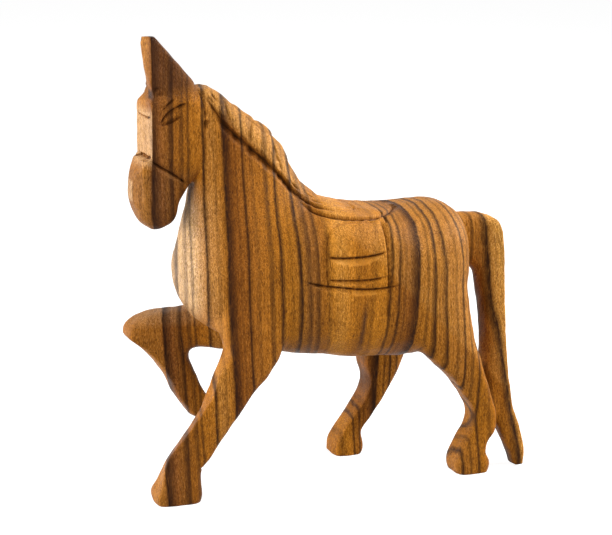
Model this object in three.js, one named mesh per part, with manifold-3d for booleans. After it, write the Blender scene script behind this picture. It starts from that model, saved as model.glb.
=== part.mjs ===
// A carved wooden horse that steps out with its right foreleg raised, built up the way a carver
// joins such a figure: a body block, a head and neck block, four legs and a tail, each cut from
// striped hardwood, glued on flat faces and held by hidden dowels.
//
// Millimetres. +Z is up, the horse looks along -X, and its left side faces -Y. Heights start at
// the ground. While the pieces are made, x starts at the breast, and the finished group is
// centred over its own footprint.
import * as THREE from "three";
import { mergeVertices } from "three/addons/utils/BufferGeometryUtils.js";
import Module from "manifold-3d";

const wasm = await Module();
wasm.setup();

// Body block
const bodyLength = 154;
const backHeight = 142.5;
const bellyHeight = 65;
const barrelWidth = 72;

// Head and neck block
const neckRise = 64;
const neckWidth = 58;
const headLength = 70;
const headWidth = 27;
const earHeight = 29.5;
const earThickness = 8;

// Legs and tail
const foreLegWidth = 20;
const hindLegWidth = 20;
const legInset = 10;
const raisedHoofHeight = 29;
const tailWidth = 15;
const tailTipClearance = 1.5;

// Glued joints: how far each lies behind the breast or ahead of the buttocks, and how many
// degrees the neck's face slopes up to the withers and the raised leg's axis down to the knee
const glueGap = 0.3;
const neckJointSetback = 35;
const neckJointDrop = 6;
const neckJointSlope = 19;
const leftForeJointSetback = 24;
const rightForeJointSetback = 18;
const rightForeJointSlope = 33;
const leftHindJointInset = 6.5;
const rightHindJointInset = 30;
const tailJointStandoff = 1;

// Dowels and their bores
const neckDowelDiameter = 8;
const neckDowelLength = 36;
const neckDowelForward = 13;
const neckDowelBackward = 18;
const legDowelDiameter = 6;
const legDowelLength = 20;
const tailDowelDiameter = 6;
const tailDowelLength = 24;
const dowelClearance = 0.25;
const dowelChamfer = 0.8;

// The two woods
const stripedTeak = { color: 0xa8692f, roughness: 0.5, metalness: 0 };
const dowelBeech = { color: 0xc9a06c, roughness: 0.65, metalness: 0 };

// How square the rings of each form are: 2 is an ellipse and 4 is nearly a box
const barrelSquareness = 2.5;
const neckSquareness = 2.4;
const headSquareness = 3;
const earSquareness = 2.6;
const legSquareness = 3;
const tailSquareness = 2.8;

// How finely a skin is divided, and how far its facets may be thinned out after the cuts
const skinSides = 20;
const ringsPerSection = 2;
const boreSides = 16;
const facetTolerance = 0.02;
const weldTolerance = 1e-4;

const left = -1;
const right = 1;
const legY = barrelWidth / 2 - legInset;

// A closed three.js geometry as a solid that can be joined and cut.
function solidOf(geometry) {
  const bare = geometry.index ? geometry.toNonIndexed() : geometry.clone();
  bare.deleteAttribute("normal");
  bare.deleteAttribute("uv");
  const merged = mergeVertices(bare, weldTolerance);
  return new wasm.Manifold(
    new wasm.Mesh({
      numProp: 3,
      vertProperties: new Float32Array(merged.attributes.position.array),
      triVerts: new Uint32Array(merged.index.array),
    }),
  );
}

// A solid back as a flat-shaded geometry.
function geometryOf(solid) {
  const mesh = solid.simplify(facetTolerance).getMesh();
  const positions = new THREE.BufferAttribute(new Float32Array(mesh.vertProperties), 3);
  const shared = new THREE.BufferGeometry();
  shared.setAttribute("position", positions);
  shared.setIndex(new THREE.BufferAttribute(new Uint32Array(mesh.triVerts), 1));
  const flat = shared.toNonIndexed();
  flat.computeVertexNormals();
  return flat;
}

// A skin carried through cross-sections that the horse's side view shows edge-on. front and back
// are a section's two edge points [x, z], y is the middle of its thickness and half is half that
// thickness. Edges and thickness follow smooth curves from section to section, and each ring is a
// superellipse. A section may have another squareness on its back half. grow thickens the skin.
function skin(sections, squareness, grow = 0) {
  const curveOf = (pick) => new THREE.CatmullRomCurve3(sections.map(pick));
  const front = curveOf((s) => new THREE.Vector3(s.front[0], 0, s.front[1]));
  const back = curveOf((s) => new THREE.Vector3(s.back[0], 0, s.back[1]));
  const thickness = curveOf((s) => new THREE.Vector3(s.y, s.half, 0));
  const backSquareness = curveOf((s) => new THREE.Vector3(s.backSquareness ?? squareness, 0, 0));
  const rings = (sections.length - 1) * ringsPerSection;
  const rounded = (value, square) => Math.sign(value) * Math.abs(value) ** (2 / square);
  const points = [];
  for (let i = 0; i <= rings; i++) {
    const a = front.getPoint(i / rings);
    const b = back.getPoint(i / rings);
    const { x: y, y: half } = thickness.getPoint(i / rings);
    const { x: backSquare } = backSquareness.getPoint(i / rings);
    const middle = new THREE.Vector3().addVectors(a, b).divideScalar(2).setY(y);
    const reach = new THREE.Vector3().subVectors(b, a);
    reach.setLength(reach.length() / 2 + grow);
    for (let j = 0; j < skinSides; j++) {
      const angle = (2 * Math.PI * j) / skinSides;
      const square = Math.cos(angle) > 0 ? backSquare : squareness;
      const point = middle.clone().addScaledVector(reach, rounded(Math.cos(angle), square));
      points.push(point.setY(y + (half + grow) * rounded(Math.sin(angle), square)));
    }
    points.push(middle);
  }
  return closedSkin(points, rings);
}

// The solid inside rings of points: quads between neighbouring rings and a fan over each end. Each
// ring's points are followed by its middle point, which only the two end fans use.
function closedSkin(points, rings) {
  const stride = skinSides + 1;
  const faces = [];
  const at = (i, j) => i * stride + (j % skinSides);
  for (let i = 0; i < rings; i++) {
    for (let j = 0; j < skinSides; j++) {
      faces.push(at(i, j), at(i + 1, j), at(i + 1, j + 1));
      faces.push(at(i, j), at(i + 1, j + 1), at(i, j + 1));
    }
  }
  for (let j = 0; j < skinSides; j++) {
    faces.push(skinSides, at(0, j), at(0, j + 1));
    faces.push(rings * stride + skinSides, at(rings, j + 1), at(rings, j));
  }
  const geometry = new THREE.BufferGeometry().setFromPoints(points);
  const made = solidOf(geometry.setIndex(faces));
  return made.volume() > 0 ? made : solidOf(geometry.setIndex(faces.reverse()));
}

// A flat glued joint: a point on it and the direction from the body into the member, given as
// the angle that it makes with +X in the side view.
function jointAt(x, y, z, degrees) {
  const angle = THREE.MathUtils.degToRad(degrees);
  return {
    point: new THREE.Vector3(x, y, z),
    normal: new THREE.Vector3(Math.cos(angle), 0, Math.sin(angle)),
  };
}

// A geometry whose own axis is Z, stood square on a joint and shifted along its slope.
function standOn(geometry, joint, shift = 0) {
  const up = new THREE.Vector3(0, 0, 1);
  const turn = new THREE.Quaternion().setFromUnitVectors(up, joint.normal);
  const seat = new THREE.Vector3(shift, 0, 0).applyQuaternion(turn).add(joint.point);
  return geometry.applyQuaternion(turn).translate(seat.x, seat.y, seat.z);
}

// Everything on the member's side of a joint, as a block too large for any piece to reach round.
const blockPerFigurine = 4;

function beyond(joint, gap = 0) {
  const size = blockPerFigurine * (bodyLength + backHeight);
  const block = new THREE.BoxGeometry(size, size, size).translate(0, 0, size / 2 + gap);
  return solidOf(standOn(block, joint));
}

// A dowel with chamfered ends, half of it on each side of its joint.
function dowelGeometry(diameter, length) {
  const radius = diameter / 2;
  const end = length / 2;
  const outline = [
    [0, -end],
    [radius - dowelChamfer, -end],
    [radius, -end + dowelChamfer],
    [radius, end - dowelChamfer],
    [radius - dowelChamfer, end],
    [0, end],
  ];
  const profile = outline.map(([r, z]) => new THREE.Vector2(r, z));
  return new THREE.LatheGeometry(profile, boreSides).rotateX(Math.PI / 2);
}

// The bore that takes a dowel, with the same clearance round it and at its ends.
function boreGeometry(diameter, length) {
  const radius = diameter / 2 + dowelClearance;
  const depth = length + 2 * dowelClearance;
  return new THREE.CylinderGeometry(radius, radius, depth, boreSides).rotateX(Math.PI / 2);
}

// The barrel from breast to buttocks. Each station is [share of the body's length, top above the
// back height, bottom above the belly height, share of the barrel's width, squareness of the top],
// and the top is squarest under the carved saddle.
const barrelStations = [
  [0.021, -24, 42, 0.42, 2.5],
  [0.036, -17, 31, 0.6, 2.5],
  [0.07, -12, 23, 0.77, 2.5],
  [0.14, -8, 16, 0.9, 2.5],
  [0.25, -3, 9, 0.98, 2.6],
  [0.36, 1, 3, 1.0, 3.1],
  [0.48, 1.5, 0, 1.0, 3.7],
  [0.58, -0.5, -2, 1.0, 4.0],
  [0.68, -2, -3, 1.0, 3.4],
  [0.78, -2, -3.5, 1.0, 2.7],
  [0.86, -1, -1, 0.98, 2.5],
  [0.92, -1.5, 6, 0.92, 2.5],
  [0.965, -5, 17, 0.8, 2.5],
  [0.995, -11, 30, 0.55, 2.5],
];

function barrel() {
  const sections = barrelStations.map(([share, top, bottom, width, topSquareness]) => ({
    front: [share * bodyLength, bellyHeight + bottom],
    back: [share * bodyLength, backHeight + top],
    y: 0,
    half: (width * barrelWidth) / 2,
    backSquareness: topSquareness,
  }));
  return skin(sections, barrelSquareness);
}

// The neck from inside the breast to the poll. Each station is [throat x, its height, crest x,
// its height, share of the neck's width], heights above the back as shares of the neck's rise.
const neckStations = [
  [12, -0.75, 62, -0.65, 0.97],
  [3, -0.56, 76, -0.37, 1.1],
  [1.5, -0.37, 85, -0.08, 1.07],
  [4, -0.155, 82, 0.06, 0.93],
  [7, 0.05, 70, 0.165, 0.79],
  [9, 0.22, 61.5, 0.31, 0.69],
  [10.5, 0.405, 55.5, 0.515, 0.62],
  [9, 0.595, 47, 0.68, 0.59],
  [6.5, 0.75, 39.5, 0.78, 0.53],
  [5, 0.875, 27, 0.905, 0.47],
  [2, 0.955, 15, 0.97, 0.38],
];

function neck() {
  const sections = neckStations.map(([throatX, throatShare, crestX, crestShare, width]) => ({
    front: [throatX, backHeight + throatShare * neckRise],
    back: [crestX, backHeight + crestShare * neckRise],
    y: 0,
    half: (width * neckWidth) / 2,
  }));
  return skin(sections, neckSquareness);
}

// The head from the poll to the lips. Each station is [share of the head's length down the face,
// face x, the same down the jaw, jaw x, share of the head's width].
const headStations = [
  [-0.1, -6.5, -0.1, 10, 0.6],
  [-0.02, -11, -0.03, 14, 0.8],
  [0.08, -15.5, 0.06, 16.5, 0.95],
  [0.2, -15.5, 0.2, 17, 1.0],
  [0.36, -15.5, 0.42, 15.5, 1.0],
  [0.5, -18.5, 0.59, 12, 0.93],
  [0.62, -22, 0.72, 5.5, 0.89],
  [0.74, -23, 0.8, 1.5, 0.93],
  [0.85, -21, 0.88, -0.5, 0.93],
  [0.95, -17.5, 0.95, -4, 0.74],
  [0.995, -13, 0.995, -8, 0.44],
];

function head() {
  const poll = backHeight + neckRise;
  const sections = headStations.map(([faceShare, faceX, jawShare, jawX, width]) => ({
    front: [faceX, poll - faceShare * headLength],
    back: [jawX, poll - jawShare * headLength],
    y: 0,
    half: (width * headWidth) / 2,
  }));
  return skin(sections, headSquareness);
}

// An ear from inside the poll to its tip. Each station is [share of the ear's height, front x,
// back x, share of its thickness]. The right ear is lower and leans back.
const leftEarStations = [
  [-0.1, -12, 15, 1.2],
  [0.12, -13.5, 12, 1.1],
  [0.35, -15.5, 4.5, 1.0],
  [0.62, -16.5, -2.5, 0.85],
  [0.88, -17.5, -9, 0.75],
  [1.0, -17, -11.5, 0.6],
];
const rightEarStations = [
  [-0.1, -12, 15, 1.2],
  [0.12, -11.5, 10, 1.1],
  [0.35, -9.5, 3, 1.0],
  [0.6, -7.5, -2, 0.85],
  [0.74, -6.5, -4, 0.6],
];
const earRootDepth = 3;

function ear(stations, hand) {
  const root = backHeight + neckRise - earRootDepth;
  const sections = stations.map(([share, frontX, backX, thick]) => ({
    front: [frontX, root + share * earHeight],
    back: [backX, root + share * earHeight],
    y: (hand * headWidth) / 4,
    half: (thick * earThickness) / 2,
  }));
  return skin(sections, earSquareness);
}

// A standing leg from inside the barrel down to its hoof. Each station is [height in front, front
// x, height behind, back x, share of the leg's width, lean towards the middle]. A height goes from
// 0 at the ground to 1 at the belly and 2 at the back. x starts at the breast for a foreleg and
// at the buttocks for a hind leg.
const leftForeStations = [
  [1.84, 20, 1.84, 54, 1.1, 12],
  [1.52, 15, 1.55, 53, 1.35, 6],
  [1.3, 15.5, 1.32, 51, 1.25, 3],
  [1.15, 16.5, 1.135, 46.5, 1.08, 1],
  [1.025, 14, 1.0, 40, 1.0, 0],
  [0.86, 9, 0.85, 31.5, 0.97, 0.5],
  [0.7, 3.5, 0.69, 24.5, 0.9, 1],
  [0.54, -1.5, 0.53, 16.5, 0.85, 2],
  [0.4, -7, 0.38, 10.5, 0.82, 3],
  [0.29, -11.5, 0.26, 5, 0.86, 3.5],
  [0.17, -15.5, 0.16, 4.5, 0.95, 4],
  [0.07, -19, 0.07, 5.5, 1.0, 4],
  [0.0, -18, 0.0, 4.5, 0.98, 4],
];
const leftHindStations = [
  [1.84, -40, 1.84, -8, 1.1, 12],
  [1.5, -42, 1.52, -5.5, 1.3, 6],
  [1.25, -42, 1.27, -4, 1.25, 3],
  [1.085, -33.5, 1.085, -1.5, 1.1, 1],
  [0.94, -24, 0.94, 1.5, 1.0, 0],
  [0.79, -14, 0.8, 4.5, 0.97, 0],
  [0.64, -7, 0.64, 8, 0.88, 0],
  [0.49, -3, 0.46, 11.5, 0.82, 0],
  [0.37, -4.5, 0.32, 11, 0.82, 0],
  [0.28, -8, 0.24, 7, 0.86, 0],
  [0.17, -11, 0.16, 5.5, 0.93, 0],
  [0.07, -12.5, 0.07, 7.5, 1.0, 0],
  [0.0, -11, 0.0, 6, 0.98, 0],
];
const rightHindStations = [
  [1.84, -46, 1.84, -10, 1.1, 12],
  [1.5, -47, 1.52, -8, 1.3, 6],
  [1.25, -46, 1.27, -8.5, 1.25, 3],
  [1.07, -45.5, 1.07, -12, 1.1, 1],
  [0.9, -44.5, 0.9, -16, 1.0, 0],
  [0.75, -44, 0.74, -21.5, 1.0, 0],
  [0.61, -42, 0.6, -26.5, 0.92, 0],
  [0.48, -44.5, 0.46, -31.5, 0.87, 0],
  [0.34, -51, 0.32, -38, 0.84, 0],
  [0.2, -57, 0.18, -44.5, 0.86, 0],
  [0.1, -60, 0.09, -43.5, 0.94, 0],
  [0.04, -60.5, 0.04, -43.5, 1.0, 0],
  [0.0, -59.5, 0.0, -45, 0.98, 0],
];
const leftForeJointShare = 1.02;
const leftHindJointShare = 0.92;
const rightHindJointShare = 0.9;

function legHeight(share) {
  if (share <= 1) return share * bellyHeight;
  return bellyHeight + (share - 1) * (backHeight - bellyHeight);
}

function standingLeg(stations, hand, width, startX, grow) {
  const sections = stations.map(([frontShare, frontX, backShare, backX, thick, lean]) => ({
    front: [startX + frontX, legHeight(frontShare)],
    back: [startX + backX, legHeight(backShare)],
    y: hand * (legY - lean),
    half: (thick * width) / 2,
  }));
  return skin(sections, legSquareness, grow);
}

// The raised right foreleg: forwards from the breast to the knee, then down and back to the hoof.
// Each station is [upper x, its height, lower x, its height, share of the leg's width, lean
// towards the middle]. A height goes from 0 at the hoof's tip to 1 at the belly.
const raisedStations = [
  [40, 1.72, 44, 1.28, 0.9, 12],
  [26, 1.69, 32, 1.06, 1.1, 7],
  [10, 1.65, 24, 1.07, 1.15, 3],
  [-1, 1.625, 17, 1.055, 1.1, 1],
  [-12, 1.57, 14, 1.0, 1.05, 0],
  [-19, 1.445, 13.5, 0.93, 1.03, 0],
  [-20, 1.29, 14, 0.86, 1.0, 0],
  [-12.5, 1.1, 15.5, 0.75, 0.95, 0],
  [-3, 0.835, 18, 0.6, 0.9, 0],
  [2.5, 0.585, 20.5, 0.43, 0.85, 0],
  [6, 0.36, 24, 0.29, 0.87, 0],
  [11.5, 0.14, 28, 0.22, 0.95, 0],
  [14, 0.04, 30, 0.125, 0.98, 0],
  [17, 0.0, 29, 0.03, 0.9, 0],
];
const rightForeJointShare = 1.31;

function raisedHeight(share) {
  return raisedHoofHeight + share * (bellyHeight - raisedHoofHeight);
}

function raisedLeg(grow) {
  const sections = raisedStations.map(([upperX, upperShare, lowerX, lowerShare, thick, lean]) => ({
    front: [upperX, raisedHeight(upperShare)],
    back: [lowerX, raisedHeight(lowerShare)],
    y: right * (legY - lean),
    half: (thick * foreLegWidth) / 2,
  }));
  return skin(sections, legSquareness, grow);
}

// The tail from inside the croup, back and down to the left hock, where it is glued, and on to
// its tip. Each station is [outer x behind the buttocks, its height, inner x, its height, share
// of the tail's width, sweep]. A height goes from 0 at the tip to 1 at the back, and a sweep from
// 0 over the spine to 1 over the left legs.
const tailStations = [
  [-14, 0.95, -14, 0.8, 0.9, 0],
  [1, 0.935, 0, 0.75, 0.95, 0],
  [13, 0.915, 6, 0.735, 1.0, 0],
  [22, 0.885, 9.5, 0.71, 1.0, 0.08],
  [26, 0.79, 11.5, 0.64, 1.0, 0.15],
  [25, 0.66, 12.5, 0.54, 1.0, 0.27],
  [23.5, 0.52, 11, 0.44, 0.98, 0.46],
  [22, 0.37, 7, 0.32, 0.95, 0.65],
  [23.5, 0.22, 9, 0.21, 0.9, 0.79],
  [27, 0.13, 16.5, 0.125, 0.85, 0.88],
  [28.5, 0.05, 21.5, 0.04, 0.8, 0.98],
  [27, 0.0, 23.5, 0.0, 0.6, 1.06],
];
const tailJointShare = 0.85;

function tailHeight(share) {
  return tailTipClearance + share * (backHeight - tailTipClearance);
}

function tail(grow) {
  const sections = tailStations.map(([outerX, outerShare, innerX, innerShare, thick, sweep]) => ({
    front: [bodyLength + innerX, tailHeight(innerShare)],
    back: [bodyLength + outerX, tailHeight(outerShare)],
    y: left * sweep * legY,
    half: (thick * tailWidth) / 2,
  }));
  return skin(sections, tailSquareness, grow);
}

// The legs and the tail: the whole form of each, thickened by grow, and its joint with the body.
const members = {
  left_foreleg: {
    form: (grow) => standingLeg(leftForeStations, left, foreLegWidth, 0, grow),
    joint: jointAt(leftForeJointSetback, left * legY, legHeight(leftForeJointShare), -90),
  },
  right_foreleg: {
    form: raisedLeg,
    joint: jointAt(
      rightForeJointSetback,
      right * legY,
      raisedHeight(rightForeJointShare),
      180 + rightForeJointSlope,
    ),
  },
  left_hind_leg: {
    form: (grow) => standingLeg(leftHindStations, left, hindLegWidth, bodyLength, grow),
    joint: jointAt(
      bodyLength - leftHindJointInset,
      left * legY,
      legHeight(leftHindJointShare),
      -90,
    ),
  },
  right_hind_leg: {
    form: (grow) => standingLeg(rightHindStations, right, hindLegWidth, bodyLength, grow),
    joint: jointAt(
      bodyLength - rightHindJointInset,
      right * legY,
      legHeight(rightHindJointShare),
      -90,
    ),
  },
  tail: {
    form: tail,
    joint: jointAt(bodyLength + tailJointStandoff, 0, tailHeight(tailJointShare), 0),
  },
};

// Dowels: the member that each holds, its size, and its shift along the joint's slope.
const dowels = {
  front_neck_dowel: ["head_and_neck", neckDowelDiameter, neckDowelLength, -neckDowelForward],
  rear_neck_dowel: ["head_and_neck", neckDowelDiameter, neckDowelLength, neckDowelBackward],
  left_foreleg_dowel: ["left_foreleg", legDowelDiameter, legDowelLength, 0],
  right_foreleg_dowel: ["right_foreleg", legDowelDiameter, legDowelLength, 0],
  left_hind_leg_dowel: ["left_hind_leg", legDowelDiameter, legDowelLength, 0],
  right_hind_leg_dowel: ["right_hind_leg", legDowelDiameter, legDowelLength, 0],
  tail_dowel: ["tail", tailDowelDiameter, tailDowelLength, 0],
};

const figurine = new THREE.Group();

function addPiece(name, geometry, finish) {
  const mesh = new THREE.Mesh(geometry, new THREE.MeshStandardMaterial(finish));
  mesh.name = name;
  figurine.add(mesh);
}

// The neck's foot is part of the body up to a joint that slopes from the breast to the withers.
// The rest of the neck is one block with the head and the ears.
const neckJoint = jointAt(neckJointSetback, 0, backHeight - neckJointDrop, 90 + neckJointSlope);
const joints = { head_and_neck: neckJoint };
const solids = {
  body: barrel().add(neck()).subtract(beyond(neckJoint)),
  head_and_neck: neck()
    .add(head())
    .add(ear(leftEarStations, left))
    .add(ear(rightEarStations, right))
    .intersect(beyond(neckJoint, glueGap)),
};

// Each leg's root and the tail's belong to the body as far as their joint.
for (const [name, { form, joint }] of Object.entries(members)) {
  joints[name] = joint;
  solids.body = solids.body.add(form(0).subtract(beyond(joint)));
  solids[name] = form(0).intersect(beyond(joint, glueGap));
}
for (const { form, joint } of Object.values(members)) {
  solids.body = solids.body.subtract(form(glueGap).intersect(beyond(joint)));
}
solids.tail = solids.tail.subtract(members.left_hind_leg.form(glueGap));

for (const [name, [member, diameter, length, shift]] of Object.entries(dowels)) {
  const bore = solidOf(standOn(boreGeometry(diameter, length), joints[member], shift));
  solids.body = solids.body.subtract(bore);
  solids[member] = solids[member].subtract(bore);
  addPiece(name, standOn(dowelGeometry(diameter, length), joints[member], shift), dowelBeech);
}
for (const [name, solid] of Object.entries(solids)) {
  addPiece(name, geometryOf(solid), stripedTeak);
}

// The origin is on the ground, under the middle of the figurine.
const footprint = new THREE.Box3().setFromObject(figurine);
const centre = footprint.getCenter(new THREE.Vector3());
figurine.position.set(-centre.x, -centre.y, -footprint.min.z);

export default figurine;
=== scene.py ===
import math

import bmesh
import bpy
import numpy as np
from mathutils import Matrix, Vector


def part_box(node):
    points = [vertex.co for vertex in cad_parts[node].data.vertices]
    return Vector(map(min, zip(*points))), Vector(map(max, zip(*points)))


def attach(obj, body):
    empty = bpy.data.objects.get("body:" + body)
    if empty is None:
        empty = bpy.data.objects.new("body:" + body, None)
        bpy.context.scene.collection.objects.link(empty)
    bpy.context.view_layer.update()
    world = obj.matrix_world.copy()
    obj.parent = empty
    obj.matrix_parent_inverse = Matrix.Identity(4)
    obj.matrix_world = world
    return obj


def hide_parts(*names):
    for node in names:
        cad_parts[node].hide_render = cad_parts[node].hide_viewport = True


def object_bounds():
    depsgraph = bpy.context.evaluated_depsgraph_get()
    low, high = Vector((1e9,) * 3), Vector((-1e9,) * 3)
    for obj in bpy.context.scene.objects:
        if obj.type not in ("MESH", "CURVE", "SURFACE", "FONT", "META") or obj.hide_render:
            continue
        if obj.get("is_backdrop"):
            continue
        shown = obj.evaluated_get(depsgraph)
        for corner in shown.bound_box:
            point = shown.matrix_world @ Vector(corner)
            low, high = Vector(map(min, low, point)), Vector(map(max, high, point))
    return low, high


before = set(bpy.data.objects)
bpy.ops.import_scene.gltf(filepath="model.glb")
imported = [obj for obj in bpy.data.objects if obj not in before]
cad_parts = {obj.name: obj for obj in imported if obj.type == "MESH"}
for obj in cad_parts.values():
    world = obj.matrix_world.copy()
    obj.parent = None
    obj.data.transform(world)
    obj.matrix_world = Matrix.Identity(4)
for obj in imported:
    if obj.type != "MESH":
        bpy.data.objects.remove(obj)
cad_low, cad_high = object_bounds()

# Barrel
# The horse's trunk, from the breast to the buttocks. It is shaped with a knife and rasp from one
# block of striped teak whose growth layers stand across the horse's length.

MM = 0.001

# Lengths are in millimetres and x starts at the breast, as a carver marks them on the block. The
# left foreleg's dowel is the mark that the frame gives for it.
dowel_behind_breast, dowel_left_of_middle = 24.0, 26.0
dowel_low, dowel_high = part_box("left_foreleg_dowel")
dowel_middle = (dowel_low + dowel_high) / (2 * MM)
breast_shift = np.array(
    [dowel_middle.x - dowel_behind_breast, dowel_middle.y + dowel_left_of_middle, 0.0]
)


def smooth_line(points, steps):
    """A smooth curve through the points. Each stretch is a cubic whose slopes at both ends come
    from the neighbouring points, weighted by the square root of their distances."""
    knots = np.asarray(points, float)
    padded = np.vstack([2 * knots[0] - knots[1], knots, 2 * knots[-1] - knots[-2]])
    gap = np.sqrt(np.linalg.norm(np.diff(padded, axis=0), axis=1))[:, None]
    gap = np.where(gap < 1e-2, 1.0, gap)
    before, here, after = gap[:-2], gap[1:-1], gap[2:]
    p0, p1, p2, p3 = padded[:-3], padded[1:-2], padded[2:-1], padded[3:]
    slope1 = ((p1 - p0) / before - (p2 - p0) / (before + here) + (p2 - p1) / here) * here
    slope2 = ((p2 - p1) / here - (p3 - p1) / (here + after) + (p3 - p2) / after) * here
    t = (np.arange(steps) / steps)[None, :, None]
    p1, p2, slope1, slope2 = (a[:, None, :] for a in (p1, p2, slope1, slope2))
    stretch = (
        (2 * t**3 - 3 * t**2 + 1) * p1
        + (t**3 - 2 * t**2 + t) * slope1
        + (3 * t**2 - 2 * t**3) * p2
        + (t**3 - t**2) * slope2
    )
    return np.vstack([stretch.reshape(-1, knots.shape[1]), knots[-1:]])


def carved_form(stations, ring_steps=6, ring_points=80):
    """A closed surface of two parameters: which ring, and the angle round it. A station is [front
    x, front z, back x, back z, middle y, half thickness, front squareness, back squareness, lead].
    A ring's point is its middle, plus the half length times the cosine and the half thickness
    times the sine, each raised to 2 over the squareness, which is 2 for an ellipse and more for a
    box. The lead may be left out. It is how far the front edge's left corner stands before its
    right one: the point moves forward by a quarter of it, times 1 minus the raised cosine, times
    1 minus the raised sine."""
    table = np.asarray(stations, float)
    front = smooth_line(table[:, 0:2], ring_steps)
    back = smooth_line(table[:, 2:4], ring_steps)
    thick = smooth_line(table[:, 4:6], ring_steps)
    rings = len(front)
    number = np.arange(len(table))
    share = np.linspace(0, len(table) - 1, rings)
    front_square, back_square, *rest = (
        np.interp(share, number, column)[:, None] for column in table[:, 6:].T
    )
    lead = rest[0] if rest else 0.0
    angle = 2 * np.pi * np.arange(ring_points) / ring_points
    cosine, sine = np.cos(angle)[None, :], np.sin(angle)[None, :]
    square = np.where(cosine > 0, back_square, front_square)
    along = np.sign(cosine) * np.abs(cosine) ** (2 / square)
    across = np.sign(sine) * np.abs(sine) ** (2 / square)
    middle, half = (front + back) / 2, (back - front) / 2
    x = middle[:, :1] + half[:, :1] * along - lead * (1 - along) * (1 - across) / 4
    z = middle[:, 1:] + half[:, 1:] * along
    y = thick[:, :1] + thick[:, 1:] * across
    ends = np.stack([middle[[0, -1], 0], thick[[0, -1], 0], middle[[0, -1], 1]], 1)
    points = np.vstack([np.stack([x, y, z], 2).reshape(-1, 3), ends])
    this = np.arange(ring_points)
    after = (this + 1) % ring_points
    row = np.arange(rings - 1)[:, None] * ring_points
    quads = [row + this, row + after, row + after + ring_points, row + this + ring_points]
    faces = [tuple(quad) for quad in np.stack(quads, 2).reshape(-1, 4)]
    last = (rings - 1) * ring_points
    faces += [(len(points) - 2, b, a) for a, b in zip(this, after)]
    faces += [(len(points) - 1, last + a, last + b) for a, b in zip(this, after)]
    return points, faces


barrel = carved_form(
    [
        (2.7, 107, 2.7, 118.5, 0, 15.1, 2.5, 2.5),
        (5, 96, 5, 125.5, 0, 21.6, 2.5, 2.5),
        (10.8, 88, 10.8, 130.5, 0, 27.7, 2.5, 2.5),
        (21.6, 81, 21.6, 134.5, 0, 32.4, 3.2, 2.5),
        (38.5, 74, 38.5, 139.5, 0, 35.3, 3.4, 2.6),
        (55.4, 68.8, 55.4, 147, 0, 36, 2.9, 3),
        (73.9, 65.6, 73.9, 147.5, 0, 36, 2.6, 3.2),
        (89.3, 63, 89.3, 142.8, 0, 36, 2.6, 4),
        (104.7, 62, 104.7, 140.5, 0, 36, 2.6, 3.4),
        (120.1, 61.5, 120.1, 140.5, 0, 36, 2.7, 2.7),
        (132.4, 64, 132.4, 141.5, 0, 35.3, 3, 2.4),
        (141.7, 71, 141.7, 141, 0, 33.1, 2.5, 2.4),
        (148.6, 82, 148.6, 137.5, 0, 28.8, 2.5, 2.5),
        (153.2, 95, 153.2, 131.5, 0, 19.8, 2.5, 2.5),
    ]
)

# Neck
# The neck rises from inside the breast to the poll, and its back edge is the crest that the mane
# lies on. It is of the same teak, glued and dowelled to the trunk on a face that slopes from the
# breast up to the withers.

neck = carved_form(
    [
        (12, 94.5, 62, 100.9, 0, 28.1, 2.4, 2.4),
        (3, 106.7, 76, 118.8, 0, 31.9, 2.4, 2.4),
        (1.5, 118.8, 80, 137.4, 0, 31, 2.4, 2.4),
        (4, 132.6, 76, 147.5, 0, 27, 2.4, 2.4),
        (7, 145.7, 69, 153.6, 0, 22.9, 2.4, 2.3),
        (9, 156.6, 62.3, 161.5, 0, 20, 2.5, 2.5),
        (10.5, 168.4, 56, 175, 0, 18, 2.6, 2.6),
        (9, 180.6, 48.5, 184.4, 0, 17.1, 2.6, 2.6),
        (6.5, 190.5, 38.5, 191.6, 0, 15.4, 2.6, 2.6),
        (5, 198.5, 28.8, 198.8, 0, 13.6, 2.4, 2.6),
        (3, 203, 23.5, 203.2, 0, 12, 2.4, 2.6),
        (3, 205.5, 17.5, 206.8, 0, 10.5, 2.4, 2.6),
    ]
)

# Head
# The head is squared off with a flat face and cut down to the muzzle, whose corners are pared
# away. It is one piece of teak with the neck, and both ears are cut from the same block.

head = carved_form(
    [
        (-6.5, 210.5, 4, 209.5, 0, 6.5, 5, 3),
        (-8.8, 207.3, 10.5, 206.5, -0.5, 10.4, 6, 3),
        (-12.4, 203.5, 14, 204, -1, 11.4, 8, 3),
        (-16, 199.5, 16.5, 200.5, -1, 12.8, 9, 3),
        (-16.1, 192.5, 17, 192.5, -1, 13.4, 9, 3),
        (-16.1, 181.3, 15.5, 177.1, -1, 13.4, 9, 3),
        (-18.4, 171.5, 12, 165.2, -0.6, 12.2, 8, 3),
        (-22, 163.1, 5.5, 156.1, 0, 12, 4, 3),
        (-23, 154.7, 1.5, 150.5, 0, 12.6, 3.2, 3),
        (-21, 147, 0.3, 144.9, 0, 12.6, 3, 3),
        (-17.5, 140, -2.6, 140, 0, 10, 2.8, 2.8),
        (-13, 136.8, -8, 136.8, 0, 5.9, 2.5, 2.5),
    ]
)
left_ear = carved_form(
    [
        (-12, 200.6, 12.5, 200.6, -6.8, 5.2, 5, 2.6),
        (-13.8, 207.5, 10.2, 207.5, -6.8, 4.8, 6, 2.6),
        (-14.8, 213, 6.4, 213, -6.8, 4.4, 8, 3),
        (-16, 221, -0.6, 221, -6.8, 3.8, 8, 4),
        (-17.3, 229.5, -7.9, 229.5, -6.8, 3.4, 8, 4),
        (-17.2, 233, -10.8, 233, -6.8, 2.8, 6, 4),
    ]
)
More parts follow.
